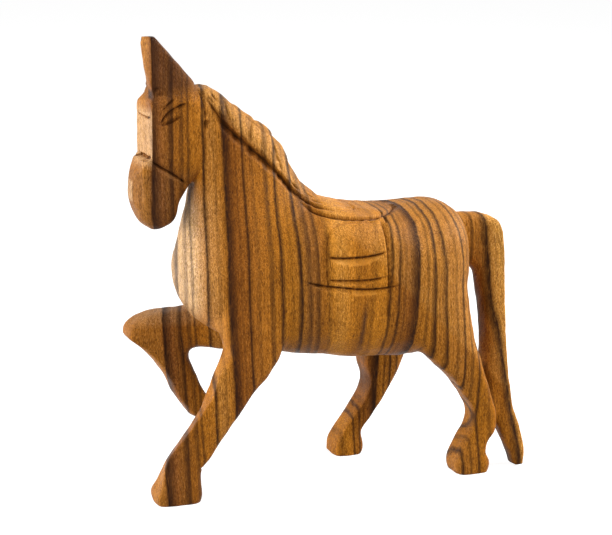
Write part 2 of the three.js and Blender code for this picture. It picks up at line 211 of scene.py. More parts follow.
right_ear = carved_form(
    [
        (-12, 200.6, 15, 200.6, 6.8, 4.8, 4, 2.6),
        (-11.5, 207, 10, 207, 6.8, 4.4, 5, 2.6),
        (-9.5, 213.8, 3, 213.8, 6.8, 4, 6, 2.8),
        (-7.5, 221.2, -2, 221.2, 6.8, 3.4, 5, 3),
        (-6.5, 225.3, -4, 225.3, 6.8, 2.4, 4, 3),
    ]
)

# Legs
# Three legs stand on flat hooves and the right foreleg is raised and bent at the knee. Each is
# sawn square from the same teak, with a crisp edge between its front and its side and a boxy
# hoof, and is glued under its shoulder or thigh with a dowel.

left_foreleg = carved_form(
    [
        (20, 130.1, 54, 130.1, -14, 11, 3, 3, 0),
        (15, 105.3, 53, 107.6, -20, 13.5, 3, 3, 0),
        (15.5, 88.2, 51, 89.8, -23, 12.5, 3, 3, 0),
        (19.2, 76.6, 47.2, 75.5, -25, 10.8, 4, 3.5, 2),
        (15.8, 66.9, 40.5, 65, -26, 10, 7, 4, 5),
        (11, 55.9, 31.5, 55.2, -25.8, 9.2, 9, 4, 2.5),
        (6.2, 45.5, 24.5, 44.8, -25.8, 8, 9, 4, 5),
        (-0.6, 35.1, 16.9, 34.4, -25, 7.3, 9, 4, 5.5),
        (-7.2, 26, 11, 24.7, -24, 7.2, 8, 4, 6.5),
        (-11.4, 18.8, 5, 16.9, -23, 8, 7, 4, 5),
        (-15.2, 11, 4.5, 10.4, -22, 9.5, 6, 4, 2),
        (-19, 4.6, 5, 4.6, -21.8, 9.7, 5, 4, 0.5),
        (-18, -1, 4, -1, -21.5, 9.2, 4, 4, 0),
    ]
)
left_hind_leg = carved_form(
    [
        (114, 130.1, 146, 130.1, -14, 11, 3, 3),
        (112, 103.8, 149.3, 105.3, -20, 13, 3, 3),
        (112, 84.4, 151.2, 85.9, -23, 12.5, 3, 3),
        (120.5, 71.6, 153.3, 71.6, -25, 11, 3, 3),
        (130, 61.1, 155.5, 61.1, -26, 10, 4, 4),
        (140, 51.4, 158.5, 52, -26, 9.7, 5, 4),
        (147, 41.6, 162, 41.6, -26, 8.8, 5, 4),
        (151.8, 31.8, 165.5, 29.9, -26, 8.2, 6, 4),
        (150.7, 24, 164.4, 20.8, -26, 8.2, 6, 4),
        (147.1, 18.2, 160.6, 15.6, -26, 8.6, 5, 4),
        (143, 11, 159.5, 10.4, -26, 9.3, 4, 4),
        (141.5, 4.6, 161.5, 4.6, -26, 10, 4, 4),
        (143, -1, 160, -1, -26, 9.8, 4, 4),
    ]
)
right_hind_leg = carved_form(
    [
        (108, 130.1, 144, 130.1, 14, 11, 3, 3),
        (107, 103.8, 146, 105.3, 20, 13, 3, 3),
        (108, 84.4, 145.5, 85.9, 23, 12.5, 3, 3),
        (109, 70.4, 139.5, 70.4, 25, 11, 4, 3),
        (110, 58.5, 136.2, 58.5, 26, 10, 5, 4),
        (111, 48.8, 132.5, 48.1, 26, 10, 6, 4),
        (113.2, 39.6, 127.5, 39, 26, 9.2, 6, 4),
        (110.8, 31.2, 122.2, 29.9, 26, 8.7, 6, 4),
        (104.6, 22.1, 116, 20.8, 26, 8.4, 6, 4),
        (98, 13, 109.5, 11.7, 26, 8.6, 5, 4),
        (94, 6.5, 110.5, 5.8, 26, 9.4, 4, 4),
        (93.5, 2.6, 110.5, 2.6, 26, 10, 4, 4),
        (93.5, -1, 108.5, -1, 26, 10, 4, 4),
    ]
)
right_foreleg = carved_form(
    [
        (40, 90.9, 44, 75.1, 14, 9, 3, 3),
        (26, 89.8, 32, 66.4, 19, 11, 3, 3),
        (10, 88.4, 24, 66.6, 23, 11.5, 3, 3),
        (-1, 87.5, 17, 67, 25, 11, 3.5, 3),
        (-11.5, 85.2, 14, 65, 26, 10.5, 4, 3),
        (-18.3, 80.8, 13.5, 62.5, 26, 10.3, 4, 3),
        (-19.4, 75.6, 14, 60, 26, 10, 5, 3.5),
        (-12, 68.8, 15.5, 56, 26, 9.5, 6, 4),
        (-3, 59.1, 18, 50.6, 26, 9, 6, 4),
        (2.5, 50.1, 20.5, 44.5, 26, 8.5, 6, 4),
        (6, 42, 24, 39.4, 26, 8.7, 5, 4),
        (11.5, 34, 28, 36.9, 26, 9.5, 4, 4),
        (14, 30.4, 30, 33.5, 26, 9.8, 4, 4),
        (17, 29, 29, 30.1, 26, 9, 4, 4),
    ]
)

# Tail
# The tail is a strip of the same teak, dowelled to the croup. It bends down and comes round to
# the left hock, where it is glued. Its back is a flat facet with a crisp edge on each side, and
# its tip hangs clear of the ground.

tail = carved_form(
    [
        (140, 114.3, 140, 135.4, 0, 6.8, 2.8, 2.8),
        (154, 107.2, 155, 133.3, 0, 7.1, 2.8, 3),
        (160, 105.1, 167.5, 131.9, 0, 7.5, 2.8, 4),
        (163.4, 101.6, 176.2, 127.6, -2.1, 7.5, 3, 7),
        (165, 91.7, 178.3, 112.9, -3.9, 7.5, 3, 8),
        (165.9, 77.6, 177.2, 94.6, -7, 7.5, 3, 8),
        (164.8, 63.5, 176, 74.8, -12, 7.4, 3, 8),
        (161, 46.6, 175.6, 53.7, -16.9, 7.1, 3, 7),
        (163, 31.1, 177.5, 32.5, -20.5, 6.8, 3, 6),
        (169.7, 19.1, 181, 19.8, -22.9, 6.4, 3, 6),
        (174.3, 7.1, 182.5, 8.6, -25.5, 6, 3, 4),
        (176, 0.9, 181.6, 0.9, -27.4, 5.2, 3, 3.5),
    ]
)

# Knife lines
# The saddle, mane, eyes, noseband and the nick above a hoof are no pieces of their own: they are
# cut with a V-gouge and a knife into the same wood. Each is drawn here on one view of the horse.

knife_lines = []
LEFT, RIGHT = -1, 1
SIDE, FRONT, REAR = (1, LEFT), (0, -1), (0, 1)
UP, BACKWARD = (0, 0, 1), (1, 0, 0)


def knife_line(view, line, depth, above, below, upper=UP, fade=0.12, within=(-999, 999), bow=0):
    """Notes a cut: the view that it is drawn on, its points there, its depth, how wide its wall is
    on its upper and on its lower side, which way is up, what share of its length it fades, the
    range of the surface that it may lie on, along the view, and how much its lower wall narrows
    towards its ends, where 1 makes the cut the shape of a lens. A view is the number of the axis
    that the carver looks along and the end of it, -1 or 1, that they look from. A cut that is
    drawn on the side is made on both sides."""
    for one in [SIDE, (1, RIGHT)] if view == SIDE else [view]:
        cut = dict(view=one, line=line, depth=depth, above=above, below=below)
        cut.update(upper=np.array(upper, float), fade=fade, within=within, bow=bow)
        knife_lines.append(cut)


def lifted(line, height):
    """The line, drawn higher by the height."""
    return [(across, height + up) for across, up in line]


# Saddle: the seat's edge with its buckle tick, the flap's edges and cross cuts, and the girth cut
seat_edge = [(60, 149), (67, 144.6), (77, 141.6), (89, 140.2), (98, 139.6), (106, 140), (117, 141.4)]
knife_line(SIDE, seat_edge, 2.0, 1.2, 2.6)
knife_line(SIDE, [(76, 145), (90, 143.2), (104, 142.6), (113, 143.2)], 0.8, 1.2, 1.2)
knife_line(SIDE, [(105.4, 140.5), (104.4, 136.4)], 1.2, 0.7, 1.6, BACKWARD)
flap_rear = [(101.2, 138), (101.5, 128), (101.8, 115), (101.8, 101)]
knife_line(SIDE, flap_rear, 1.7, 3, 0.7, BACKWARD, fade=0.05)
knife_line(SIDE, [(73, 136.4), (77, 138), (88, 138.4), (98, 137.4)], 0.8, 2.4, 0.7)
knife_line(SIDE, [(72, 136), (69.7, 130), (68.8, 120), (69.5, 106)], 0.9, 0.8, 5, BACKWARD)
cross_cut = [(68.5, 122.8), (76, 121.7), (84, 121.4), (92.5, 121.6), (100.8, 122.8)]
knife_line(SIDE, cross_cut, 2.1, 0.7, 4.6, bow=1)
knife_line(SIDE, [(69, 111), (81, 109.8), (91, 109.4), (100.6, 110.2)], 1.7, 0.7, 2.8, bow=1)
girth = [(57, 110.9), (66, 108.5), (74, 107), (88, 104.8), (97, 104.4), (108, 105.2)]
knife_line(SIDE, girth, 2.1, 0.7, 3.6, bow=1)
knife_line(SIDE, [(101.6, 103), (102, 86)], 0.9, 1, 6, BACKWARD, fade=0.4)
knife_line(SIDE, [(71, 104), (73, 90), (76, 78)], 0.7, 6, 1.2, BACKWARD, fade=0.4)

# Mane: five strokes that overlap along its foot, locks that step down over the crest, long locks
# on its side, short chips between them and shallow locks beside the crest
for stroke, depth, above, below in (
    ([(13.2, 203.5), (17, 198), (20.3, 192.4), (22.6, 188.6)], 1.7, 0.8, 2.4),
    ([(17.6, 195.6), (22.5, 189.6), (29, 182.6), (35.4, 176.6)], 2.4, 1, 3.6),
    ([(29, 183.4), (35.6, 176.8), (43, 170.6), (50, 163.4)], 2.6, 1.1, 4.2),
    ([(44.6, 168.2), (51, 162.8), (57, 155.6), (62.6, 150)], 2.5, 1, 3.8),
    ([(56, 157.4), (61.6, 151.4), (68, 147.4), (77, 144.6)], 1.9, 1, 2.8),
):
    knife_line(SIDE, stroke, depth, above, below, fade=0.3)
crest_lock = [(-15, -20), (-12, -10), (-8, -2.5), (0, 0), (7, 0), (12, -4), (15, -12)]
for lock_height, depth in ((202.4, 2.6), (191.6, 2.6), (183.2, 2.2), (170.5, 1), (160, 0.8)):
    knife_line(REAR, lifted(crest_lock, lock_height), depth, 8, 0.5, BACKWARD, fade=0.15)
for long_lock in (
    [(23.4, 200.8), (24.7, 194.6), (26.4, 188.4)],
    [(37.2, 190), (35.4, 184.5), (35.6, 179.5)],
    [(48.4, 181.5), (49.6, 174.5), (51.4, 167), (52.6, 163)],
    [(56.4, 173), (58.4, 165), (59.4, 158)],
):
    knife_line(SIDE, long_lock, 0.8, 0.6, 4, BACKWARD, fade=0.3)
for x, z, run, drop in (
    (52, 160, 5, -3),
    (57, 159, 4, -5),
    (59, 153, 6, -3),
    (64, 153.5, 6, -4),
    (66, 149.5, 7, -2),
    (14.5, 204, 3, -4),
    (17, 205, 3, -5),
    (30, 184, 4, -4),
    (38, 176.5, 5, -4),
    (19, 196, 3, -4),
    (16, 199.5, 3, -5),
):
    chip = [(x, z), (x + run / 2, z + drop / 2 + 0.4), (x + run, z + drop)]
    knife_line(SIDE, chip, 1.1, 0.6, 1.8, fade=0.4)
side_lock = [(-14, -19), (-11, -11), (-8, -5)]
for lock_height in (197, 187, 177, 165):
    lock = lifted(side_lock, lock_height)
    knife_line(REAR, lock, 0.8, 3, 0.5, BACKWARD, fade=0.3)
    knife_line(REAR, [(-across, up) for across, up in lock], 0.8, 3, 0.5, BACKWARD, fade=0.3)

# Head: the eye's fold and lids, two brow ticks, the noseband, which runs round the face, the
# forehead's crease and the cheek's rim
knife_line(SIDE, [(-8.8, 197.6), (-7.3, 199.3), (-5.2, 201.4), (-2.6, 202.9)], 1.3, 0.7, 2.0, bow=1)
upper_lid = [(-10.2, 190.3), (-8.9, 192.9), (-6.8, 195.6), (-4.8, 197.1), (-1.2, 198.9), (3.4, 200.6)]
knife_line(SIDE, upper_lid, 1.5, 0.8, 2.4, bow=0.5)
lower_lid = [(-9.9, 190.2), (-7.4, 190.4), (-5.4, 191), (-2.8, 192), (-0.2, 193.8)]
knife_line(SIDE, lower_lid, 1.5, 2.2, 0.8)
knife_line(SIDE, [(-12.6, 206.5), (-11.2, 208.4), (-9.6, 208)], 1.3, 0.8, 3, fade=0.4)
knife_line(SIDE, [(-12.4, 204), (-10, 205.6), (-7, 205.4)], 0.9, 0.8, 2, fade=0.4)
noseband = [(-15, 172.6), (-13.4, 171.6), (-9.4, 168.9), (-4.9, 166.2), (-0.2, 162.9), (3.4, 159.9)]
knife_line(SIDE, noseband, 1.9, 0.8, 2.6, bow=1)
noseband_front = [(-11.8, 172.8), (-7, 173.6), (0, 174), (7, 173.6), (11.8, 172.8)]
knife_line(FRONT, noseband_front, 1.5, 0.8, 1.8)
knife_line(FRONT, [(-10.5, 194), (-5, 193.2), (0, 193.2), (5, 193.2), (10.5, 194)], 0.9, 1, 1)
cheek_rim = [(9.2, 209), (10.7, 205), (12, 200.5), (12.8, 194), (13, 186)]
knife_line(SIDE, cheek_rim, 1.0, 2.4, 0.7, BACKWARD)

# Hooves: a nick behind the left forehoof, where the fetlock ends
nick = [(-31, 17.4), (-25, 17.2), (-19, 17.2), (-14, 17.4)]
knife_line(REAR, nick, 0.9, 1.2, 0.8, within=(-20, 20))

# The carved surface
# The figure is carved after its blocks are glued, so the forms run into each other in the wood:
# their outer skins are made one, the inner corners where they meet are rounded, flats are pared
# with a knife, and then the knife lines are cut.

forms = [barrel, neck, head, left_ear, right_ear, left_foreleg, left_hind_leg, right_hind_leg]
forms += [right_foreleg, tail]
skin_pitch = 0.82
smoothing_pushes = (0.5, -0.52, 0.5, -0.52)
rubbing_rounds = 70
filling_rounds = 26
least_hollow, most_filled = 0.012, 0.3
fine_reach = 1.6
shade_reach = 0.9
ripple_waves, ripple_height = 9, 0.045


def mesh_from(name, points, faces):
    """A mesh of these points, given in millimetres from the breast, in the part's own place."""
    mesh = bpy.data.meshes.new(name)
    mesh.from_pydata(((points + breast_shift) * MM).tolist(), [], faces)
    return mesh


def points_of(mesh):
    """A mesh's points as one array, in millimetres from the breast."""
    flat = np.empty(len(mesh.vertices) * 3, np.float32)
    mesh.vertices.foreach_get("co", flat)
    return flat.reshape(-1, 3).astype(float) / MM - breast_shift


def edges_of(mesh):
    """A mesh's edges as one array of point numbers."""
    flat = np.empty(len(mesh.edges) * 2, np.int32)
    mesh.edges.foreach_get("vertices", flat)
    return flat.reshape(-1, 2)


def put_points(mesh, points):
    """Moves a mesh's points to these, given in millimetres from the breast."""
    mesh.vertices.foreach_set("co", ((points + breast_shift) * MM).astype(np.float32).ravel())
    mesh.update()


def normals_of(mesh, points):
    """The unit normals at a mesh's points, after the points have been put into it."""
    put_points(mesh, points)
    flat = np.empty(len(points) * 3, np.float32)
    mesh.vertex_normals.foreach_get("vector", flat)
    return flat.reshape(-1, 3).astype(float)


def drawn_in(points, edges):
    """How far the mean of each point's neighbours lies from the point."""
    total = np.zeros_like(points)
    count = np.bincount(edges.ravel(), minlength=len(points)).clip(1)
    for axis in range(3):
        value = points[:, axis]
        total[:, axis] = np.bincount(edges[:, 0], value[edges[:, 1]], len(points))
        total[:, axis] += np.bincount(edges[:, 1], value[edges[:, 0]], len(points))
    return total / count[:, None] - points


def along_axis(vectors, directions):
    """How far each vector reaches along its direction."""
    return np.einsum("ij,ij->i", vectors, directions)


def eased(value, low, high):
    """0 below low, 1 above high, and a smooth step between them."""
    share = ((value - low) / (high - low)).clip(0, 1)
    return share * share * (3 - 2 * share)


all_faces = []
first = 0
for form_points, form_faces in forms:
    all_faces += [tuple(first + corner for corner in face) for face in form_faces]
    first += len(form_points)
all_points = np.vstack([form_points for form_points, _ in forms])
raw = bpy.data.objects.new("raw_forms", mesh_from("raw_forms", all_points, all_faces))
bpy.context.scene.collection.objects.link(raw)
skin = raw.modifiers.new("skin", "REMESH")
skin.mode = "VOXEL"
skin.voxel_size = skin_pitch * MM
skinned = raw.evaluated_get(bpy.context.evaluated_depsgraph_get())
carving = bpy.data.meshes.new_from_object(skinned)
bpy.data.objects.remove(raw)

points, edges = points_of(carving), edges_of(carving)
for push in smoothing_pushes:
    points += push * drawn_in(points, edges)

# The shoulder, thigh and withers are rubbed flush with the trunk, and the neck with the cheek:
# [x, z, reach, least distance from the middle] of each soft spot.
rub = np.zeros(len(points))
soft_spots = ((34, 84, 22, 22), (132, 80, 24, 22), (78, 146, 15, 0), (14.5, 189, 6, 6))
for x, z, reach, least in soft_spots:
    off = np.hypot(points[:, 0] - x, points[:, 2] - z)
    soft = 1 - eased(off, 0.5 * reach, reach)
    rub = np.maximum(rub, soft * eased(np.abs(points[:, 1]), least - 0.1, least + 6))
for _ in range(rubbing_rounds):
    points += 0.5 * rub[:, None] * drawn_in(points, edges)

# Inner corners are filled, and outer ones keep their edge.
for _ in range(filling_rounds):
    normals = normals_of(carving, points)
    hollow = along_axis(drawn_in(points, edges), normals)
    points += normals * (0.9 * (hollow - least_hollow).clip(0, most_filled))[:, None]


def crisped(mesh, points, rounds, tolerance):
    """Draws the surface towards flat facets with crisp edges, as a knife leaves it. Each face's
    direction becomes the mean of its neighbours', each weighted by e to the power of minus the
    square of its turn over the tolerance. Then each point moves onto its faces' planes."""
    corners = np.empty(len(mesh.loops), np.int32)
    mesh.loops.foreach_get("vertex_index", corners)
    quads = corners.reshape(-1, 4)
    face = np.repeat(np.arange(len(quads)), 4)
    pairs = np.stack([quads, np.roll(quads, -1, 1)], 2).reshape(-1, 2)
    key = pairs.min(1).astype(np.int64) * len(points) + pairs.max(1)
    order = np.argsort(key, kind="stable")
    twin = np.flatnonzero(key[order][1:] == key[order][:-1])
    one, other = face[order][twin], face[order][twin + 1]
    for _ in range(2):
        square = points[quads]
        turn = np.cross(square[:, 2] - square[:, 0], square[:, 3] - square[:, 1])
        turn /= np.linalg.norm(turn, axis=1, keepdims=True).clip(1e-9)
        for _ in range(rounds):
            weight = np.exp(-((turn[one] - turn[other]) ** 2).sum(1) / tolerance**2)
            total = 1.0 * turn
            for axis in range(3):
                total[:, axis] += np.bincount(one, weight * turn[other, axis], len(quads))
                total[:, axis] += np.bincount(other, weight * turn[one, axis], len(quads))
            turn = total / np.linalg.norm(total, axis=1, keepdims=True).clip(1e-9)
        used = np.bincount(corners, minlength=len(points)).clip(1)
        for _ in range(8):
            gap = along_axis(points[quads].mean(1)[face] - points[corners], turn[face])
            for axis in range(3):
                step = np.bincount(corners, gap * turn[face, axis], len(points))
                points[:, axis] += step / used


crisped(carving, points, rounds=10, tolerance=0.22)


def pare(points, corners, outward, low, high):
    """Pares the surface flat: what stands out beyond the plane through three corners, between the
    points low and high, is laid back on the plane. outward is roughly the way that it faces."""
    a, b, c = (np.array(corner, float) for corner in corners)
    out = np.cross(b - a, c - a)
    out *= np.sign(out @ outward) / np.linalg.norm(out)
    over = ((points - a) @ out).clip(0, None)
    over *= ((points > low) & (points < high)).all(1)
    points -= over[:, None] * out


# The flat face, its left and right sides, and the left ear's outer corner
corners = [(-15.3, 11.6, 200), (-15.3, 11.6, 180), (-14.6, -13.6, 190)]
pare(points, corners, (-1, 0, 0), (-19, -16, 173), (-5, 16, 205))
corners = [(-15, -13.6, 200), (-15, -13.6, 180), (5, -13.6, 190)]
pare(points, corners, (0, -1, 0), (-19, -16, 172), (10, -6, 206))
corners = [(-15, 11.6, 200), (-15, 11.6, 180), (5, 11.6, 190)]
pare(points, corners, (0, 1, 0), (-19, 6, 172), (10, 16, 206))
corners = [(-17.2, -3.4, 232), (-13.5, -10.4, 232), (-13.8, -11, 212)]
pare(points, corners, (-1, -1, 0), (-25, -15, 203), (-5, -1.5, 240))
for hand in (LEFT, RIGHT):
    near, far = (-15, -0.5) if hand == LEFT else (0.5, 15)
    # The muzzle's corner facet, and the cheek's, which falls back to the jaw
    corners = [(-22.6, 4 * hand, 165), (-22.6, 4 * hand, 145), (-17.8, 12.6 * hand, 155)]
    pare(points, corners, (-1, hand, 0), (-30, near, 135), (-5, far, 172))
    corners = [(11.7, 13.2 * hand, 191.7), (0.3, 13.4 * hand, 166.3), (12.7, 11.2 * hand, 168)]
    pare(points, corners, (0, hand, 0), (-5, near, 158), (14, far, 191))


def laid_on(points, view, line, within):
    """A line drawn on a view, carried straight onto the surface: each of its points takes the
    place of the outermost surface point that lies within about a millimetre of it in that view.
    Gives the line's points, and each one's share of the way along it."""
    axis, outward = view
    seen = [a for a in range(3) if a != axis]
    drawn = smooth_line(line, 24)
    length = np.concatenate([[0], np.cumsum(np.linalg.norm(np.diff(drawn, axis=0), axis=1))])
    even = np.arange(0, length[-1] + 0.15, 0.3)
    drawn = np.stack([np.interp(even, length, drawn[:, k]) for k in (0, 1)], 1)
    near = (points[:, seen] > drawn.min(0) - 2).all(1)
    near &= (points[:, seen] < drawn.max(0) + 2).all(1)
    near &= points[:, axis] * outward > (0 if axis == 1 else -1e9)
    near &= (points[:, axis] > within[0]) & (points[:, axis] < within[1])
    found = points[near]
    off = np.linalg.norm(found[:, None, :][:, :, seen] - drawn[None], axis=2)
    depth = np.where(off < 1.0, found[:, axis, None] * outward, -1e9).max(0)
    laid = np.zeros((len(drawn), 3))
    laid[:, seen] = drawn
    laid[:, axis] = depth * outward
    kept = depth > -1e8
    laid = laid[kept]
    for _ in range(6):
        laid[1:-1] = (laid[:-2] + 2 * laid[1:-1] + laid[2:]) / 4
    return laid, even[kept] / even[-1]


def near_line(points, laid, margin):
    """The points in a laid line's box with a margin round it: their numbers, the number of the
    line's point that is nearest to each, and their offsets from that point."""
    box = (points > laid.min(0) - margin).all(1) & (points < laid.max(0) + margin).all(1)
    chosen = np.flatnonzero(box)
    off = points[chosen][:, None] - laid[None]
    nearest = np.linalg.norm(off, axis=2).argmin(1)
    return chosen, nearest, off[np.arange(len(chosen)), nearest]


# The skin is twice as fine where a cut goes.
near_cut = np.zeros(len(points), bool)
for cut in knife_lines:
    cut["laid"], cut["share"] = laid_on(points, cut["view"], cut["line"], cut["within"])
    margin = min(max(cut["above"], cut["below"]), fine_reach) + 0.6
    chosen, nearest, off = near_line(points, cut["laid"], margin)
    near_cut[chosen[np.linalg.norm(off, axis=1) < margin]] = True
put_points(carving, points)
work = bmesh.new()
work.from_mesh(carving)
work.edges.ensure_lookup_table()
fine_edges = [work.edges[number] for number in np.flatnonzero(near_cut[edges].all(1))]
bmesh.ops.subdivide_edges(work, edges=fine_edges, cuts=1, use_grid_fill=True)
work.to_mesh(carving)
work.free()
points = points_of(carving)
normals = normals_of(carving, points)

# The carved attribute holds the cuts' painted shade and light: a cut's depth in millimetres near its
# foot and on its steep wall, painted as shade, and from 0 to -1 where a lower wall is cut fresh and
# gets a painted highlight.
cut_depth, cut_shade_and_highlight = np.zeros(len(points)), np.zeros(len(points))
chance = np.random.default_rng(11)
for cut in knife_lines:
    laid, depth, above, below, bow = (cut[key] for key in ("laid", "depth", "above", "below", "bow"))
    chosen, nearest, off = near_line(points, laid, max(above, below) + 0.3)
    ahead = np.gradient(laid, axis=0)[nearest]
    ahead /= np.linalg.norm(ahead, axis=1, keepdims=True)
    side = np.cross(normals[chosen], ahead)
    side *= np.sign(side @ cut["upper"])[:, None]
    along, across = along_axis(off, ahead), along_axis(off, side)
    part = cut["share"][nearest]
    lower = below * (1 - bow * (2 * part - 1) ** 2).clip(0.15, 1)
    wall = np.where(across > 0, 1 - across / above, 1 + across / lower).clip(0, 1)
    wall *= (np.abs(along) < 0.5) * (along_axis(off, normals[chosen]) > -2)
    wall *= (np.minimum(part, 1 - part) / cut["fade"]).clip(0.15, 1) ** 0.7
    waves = chance.uniform(0.1, 0.3, 3) * len(laid) * 0.3
    wall *= 1 + 0.1 * sum(np.sin(wave * part * 6.28 + wave) for wave in waves)
    cut_depth[chosen] = np.maximum(cut_depth[chosen], depth * wall)
    # The painted shade is full at the cut's foot and less on its walls, and the lower wall of a cut
    # in
    # the shape of a lens is painted brighter: fresher wood, and painted light where it faces up.
    fresh_and_lit_wall = bow * (across < -1.0) * (wall > 0.08)
    open_wall = 0.55 if below > 3.5 and depth > 2 else 0.3
    wall *= (1 - np.abs(across + 0.2) / shade_reach).clip(open_wall * (1 - bow), 1)
    value = np.where(wall > 0, depth * wall, -fresh_and_lit_wall)
    before = cut_shade_and_highlight[chosen]
    cut_shade_and_highlight[chosen] = np.where(value < 0, np.minimum(before, value), np.maximum(before, value))
points -= normals * cut_depth[:, None]

# The rubbed surface still undulates by a tenth of a millimetre or two.
ripple = np.zeros(len(points))
for _ in range(ripple_waves):
    wave = chance.normal(size=3) * (0.55, 0.55, 0.4)
    ripple += np.sin(points @ wave + chance.uniform(0, 6.28))
points += normals * (ripple_height * ripple)[:, None]

# The hooves stand flat on the ground, and nothing reaches past the block.
points = np.maximum(points, np.array(cad_low) / MM - breast_shift)
points = np.minimum(points, np.array(cad_high) / MM - breast_shift)
put_points(carving, points)

# Wood
# Striped teak: golden brown with thin dark growth lines a few millimetres apart, long pores along
# the grain, and an oiled, rubbed surface. The grain stands upright in the whole figure.


def layer_at(points):
    """Which growth layer a point lies in, as the place in millimetres where that layer crosses the
    middle of the block at mid height. The layers lean and bow a little: w is the way to the right
    side, h the height above the middle and u the way back, each about 1 at the block's edge."""
    x, y, z = points.T
    w, h, u = y / 30, (z - 100) / 100, (x - 79) / 79
    fore = x - 4.2 * w - 0.8 * w * w + 4.4 * h - 2.0 * h * h + 1.4 * w * h + 5.3 * u * w
    aft = x - 4.3 * w - 3.2 * h - 2.1 * h * h + 11.1 * u * w + 2.3 * u * h
    share = eased(x, 68, 96)
    return fore * (1 - share) + aft * share


# Dark growth lines: [layer, rise before it, fall after it, darkness], in millimetres. A line is
# at its darkest for 0.4 mm on each side of its middle, and a colour ramp has room for seven.
line_core = 0.4
lines_in_ramp = 7
growth_lines = [
    (-8.6, 0.4, 4.8, 1.0),
    (-2.0, 0.8, 0.8, 0.14),
    (1.7, 2.6, 0.8, 0.75),
    (6.5, 1.5, 0.6, 0.4),
    (9.5, 0.6, 0.8, 0.55),
    (17.2, 0.7, 0.7, 1.0),
    (22.5, 0.4, 0.4, 0.2),
    (27.0, 0.8, 4.5, 1.0),
    (32.5, 0.4, 0.4, 0.2),
    (36.5, 0.9, 1.1, 0.95),
    (41.5, 2.0, 0.6, 0.2),
    (47.4, 1.2, 0.5, 0.55),
    (51.9, 0.7, 0.7, 1.0),
    (56.5, 0.4, 0.4, 0.2),
    (60.7, 1.2, 1.0, 1.0),
    (65.5, 2.0, 0.6, 0.5),
    (69.4, 1.6, 0.7, 0.65),
    (74.5, 0.7, 0.7, 0.25),
    (90.0, 1.2, 1.2, 0.1),
    (97.0, 1.6, 1.0, 0.2),
    (104.3, 0.55, 0.55, 0.85),
    (107.9, 0.55, 0.55, 0.8),
    (111.0, 0.4, 0.4, 0.25),
    (117.1, 5.0, 0.7, 1.0),
    (121.8, 0.5, 0.5, 0.4),
    (125.6, 1.4, 0.7, 1.0),
    (130.2, 1.0, 0.6, 0.9),
    (134.8, 0.5, 0.5, 0.3),
    (139.0, 0.8, 0.6, 0.9),
    (142.6, 0.5, 0.5, 0.4),
    (146.3, 0.8, 0.8, 0.85),
    (152.0, 1.2, 0.6, 0.4),
    (158.0, 1.2, 0.8, 0.5),
    (166.0, 2.6, 1.0, 1.0),
    (173.0, 0.7, 0.7, 0.2),
]
# The colour ramps reach past the figure on both sides, because the layers waver.
layer_low, layer_high = -45.0, 195.0

wood = bpy.data.materials.new("striped_teak")
wood.use_nodes = True
nodes, links = wood.node_tree.nodes, wood.node_tree.links
shader = nodes["Principled BSDF"]


def make(kind, inputs=(), **settings):
    """A shader node with these settings and inputs, each a value or another node's output. It
    goes where nodes and links lie at the time: the wood, the beech, the floor or the world."""
    made = nodes.new("ShaderNode" + kind)
    for name, value in settings.items():
        setattr(made, name, value)
    for key, value in dict(inputs).items():
        if isinstance(value, bpy.types.NodeSocket):
            links.new(value, made.inputs[key])
        else:
            made.inputs[key].default_value = value
    return made


def calc(operation, a, b=0.0, c=0.0):
    """One step of arithmetic on one, two or three values."""
    return make("Math", {0: a, 1: b, 2: c}, operation=operation).outputs[0]


def noise(vector, scale, detail=2.0, rough=0.5):
    """Soft noise between 0 and 1, at scale cells a millimetre of the vector."""
    inputs = {"Vector": vector, "Scale": scale, "Detail": detail, "Roughness": rough}
    return make("TexNoise", inputs).outputs[0]


def stretched(vector, x, y, z):
    """The vector with each of its parts multiplied."""
    inputs = {0: vector, 1: (x, y, z)}
    return make("VectorMath", inputs, operation="MULTIPLY").outputs[0]


def between(factor, a, b, blend="MIX"):
    """A colour between two colours."""
    return make("Mix", {0: factor, 6: a, 7: b}, data_type="RGBA", blend_type=blend).outputs[2]


def times(color, by):
    """A colour multiplied by another."""
    return between(1.0, color, by, "MULTIPLY")


def ranged(value, low, high, to_low=0.0, to_high=1.0):
    """The value's share of the way from low to high, held between to_low and to_high."""
    inputs = {"Value": value, "From Min": low, "From Max": high}
    inputs |= {"To Min": to_low, "To Max": to_high}
    return make("MapRange", inputs).outputs[0]


def product(*values):
    """The product of two or more values."""
    total = values[0]
    for value in values[1:]:
        total = calc("MULTIPLY", total, value)
    return total


def place_in_mm():
    """The shaded point's place in the part's own frame, in millimetres."""
    place = make("TexCoord").outputs["Object"]
    return make("VectorMath", {0: place, "Scale": 1 / MM}, operation="SCALE").outputs[0]


place = place_in_mm()
layer = make("Attribute", attribute_name="layer").outputs["Fac"]
# The carved attribute carries the painted shade and highlight of the cuts.
carved = make("Attribute", attribute_name="carved").outputs["Fac"]

slow = noise(stretched(place, 1, 1, 0.35), 0.035, 1.0)
quick = noise(stretched(place, 1, 1, 0.12), 0.35, 2.0)
wobble = calc("MULTIPLY_ADD", slow, 5.0, calc("MULTIPLY_ADD", quick, 1.1, -3.05))
layer = calc("ADD", layer, wobble)
spread = calc("DIVIDE", calc("SUBTRACT", layer, layer_low), layer_high - layer_low)


def ramp_along(rows):
    """A colour ramp over the growth layers, from rows of [layer, colour]."""
    ramp = make("ValToRGB", {"Fac": spread})
    stops = ramp.color_ramp.elements
    while len(stops) < len(rows):
        stops.new(1.0)
    for stop, (position, color) in zip(stops, rows):
        stop.position = (position - layer_low) / (layer_high - layer_low)
        stop.color = (*color, 1)
    return ramp.outputs["Color"]


